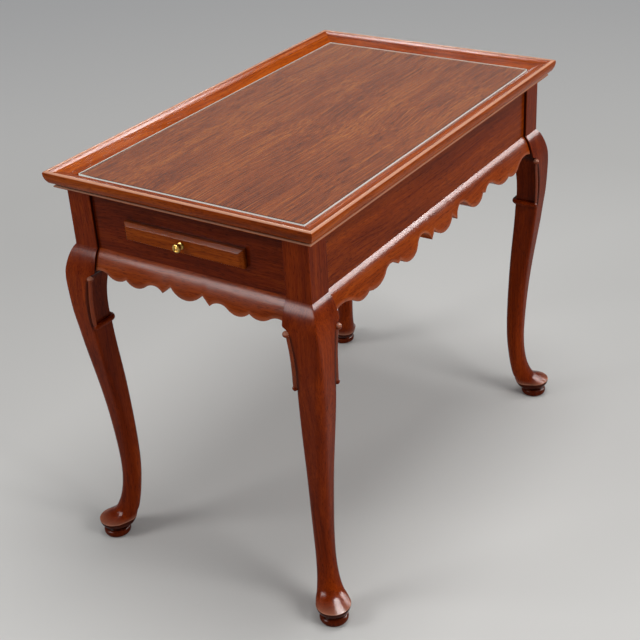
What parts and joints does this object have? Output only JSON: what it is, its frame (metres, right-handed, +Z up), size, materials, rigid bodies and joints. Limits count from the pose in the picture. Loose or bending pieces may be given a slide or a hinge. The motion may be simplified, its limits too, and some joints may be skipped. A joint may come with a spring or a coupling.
{
  "type": "tea table",
  "caption": "Mahogany tea table on cabriole legs with pad feet, scalloped skirts, a moulded tray top under glass and a pull-out candle slide with a brass knob at each short end.",
  "frame": {"origin": "on the floor under the middle of the table", "axes": "+X along the length to the right end, +Y from the front to the back, +Z up"},
  "size_m": [0.774, 0.487, 0.657],
  "materials": {
    "mahogany": "satin polish, deep red-brown",
    "mahogany_veneer": "satin polish, long straight grain",
    "plain_softwood": "planed, unpolished",
    "clear_glass": "polished",
    "brass": "polished, lightly aged",
    "steel": "plain"
  },
  "bodies": {
    "table": {"leg_front_left": "mahogany", "leg_front_right": "mahogany", "leg_back_left": "mahogany", "leg_back_right": "mahogany", "rail_front": "mahogany", "rail_back": "mahogany", "rail_left": "mahogany", "rail_right": "mahogany", "skirt_front": "mahogany", "skirt_back": "mahogany", "skirt_left": "mahogany", "skirt_right": "mahogany", "rim_front": "mahogany", "rim_back": "mahogany", "rim_left": "mahogany", "rim_right": "mahogany", "top_panel": "mahogany_veneer", "glass_sheet": "clear_glass", "runner_front": "plain_softwood", "runner_back": "plain_softwood", "corner_block_front_left": "plain_softwood", "corner_block_front_right": "plain_softwood", "corner_block_back_left": "plain_softwood", "corner_block_back_right": "plain_softwood", "skirt_blocks": "plain_softwood", "mitre_keys": "plain_softwood", "leg_screws": "steel", "top_screws": "steel"},
    "slide_left": {"slide_board_left": "mahogany", "slide_face_left": "mahogany", "stop_pegs_left": "plain_softwood", "knob_left": "brass"},
    "slide_right": {"slide_board_right": "mahogany", "slide_face_right": "mahogany", "stop_pegs_right": "plain_softwood", "knob_right": "brass"}
  },
  "joints": [
    {"name": "slide_left", "type": "slide", "parent": "table", "child": "slide_left", "axis": [-1, 0, 0], "range_m": [0, 0.18]},
    {"name": "slide_right", "type": "slide", "parent": "table", "child": "slide_right", "axis": [1, 0, 0], "range_m": [0, 0.18]}
  ]
}
